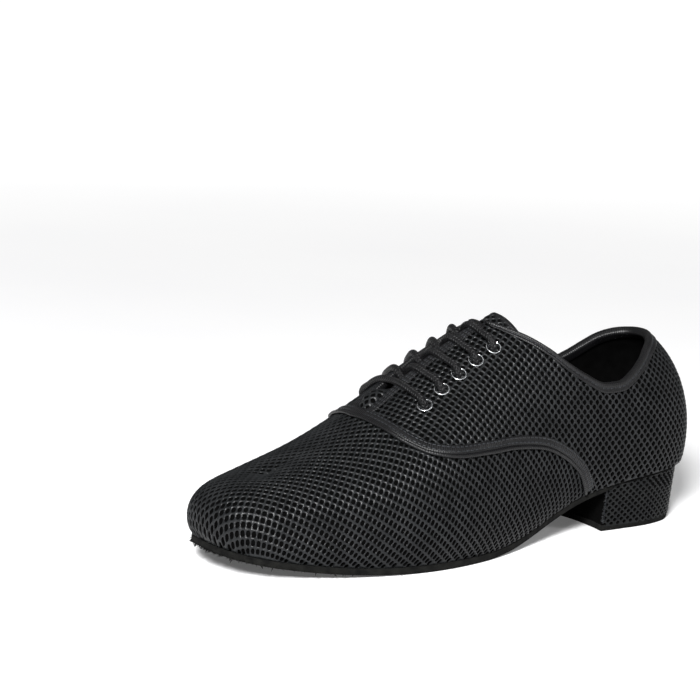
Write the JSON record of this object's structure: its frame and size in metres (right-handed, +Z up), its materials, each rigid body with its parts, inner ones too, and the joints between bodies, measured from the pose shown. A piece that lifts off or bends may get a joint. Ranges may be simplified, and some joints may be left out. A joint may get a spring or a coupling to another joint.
{
  "type": "ballroom dance shoe",
  "caption": "Low laced dance shoe for the left foot with a mesh upper, a thin suede sole with toe spring and a low covered block heel.",
  "frame": {"origin": "middle of the shoe's bounding box, on the floor", "axes": "+X from heel to toe, +Y to the outer side of the foot, +Z up from the floor"},
  "size_m": [0.28, 0.104, 0.106],
  "materials": {
    "mesh_cloth": "matt black open mesh over a dark lining",
    "binding_tape": "smooth black stitched tape with a slight sheen",
    "tongue_cloth": "matt black open mesh, bound edge",
    "sock_lining": "matt black lining cloth",
    "sole_suede": "black suede with a short raised nap",
    "heel_cloth": "matt black mesh stretched over the heel",
    "eyelet_metal": "bright nickel plate",
    "lace_cord": "matt black round braided cord"
  },
  "bodies": {
    "root": {"upper": "mesh_cloth", "collar_binding": "binding_tape", "seam_tape": "binding_tape", "tongue": "tongue_cloth", "insole": "sock_lining", "outsole": "sole_suede", "heel_block": "heel_cloth", "heel_pad": "sole_suede", "eyelet_outer_1": "eyelet_metal", "eyelet_outer_2": "eyelet_metal", "eyelet_outer_3": "eyelet_metal", "eyelet_outer_4": "eyelet_metal", "eyelet_outer_5": "eyelet_metal", "eyelet_inner_1": "eyelet_metal", "eyelet_inner_2": "eyelet_metal", "eyelet_inner_3": "eyelet_metal", "eyelet_inner_4": "eyelet_metal", "eyelet_inner_5": "eyelet_metal", "lace_bar_1": "lace_cord", "lace_cross_2": "lace_cord", "lace_cross_3": "lace_cord", "lace_cross_4": "lace_cord", "lace_cross_5": "lace_cord"}
  },
  "joints": []
}
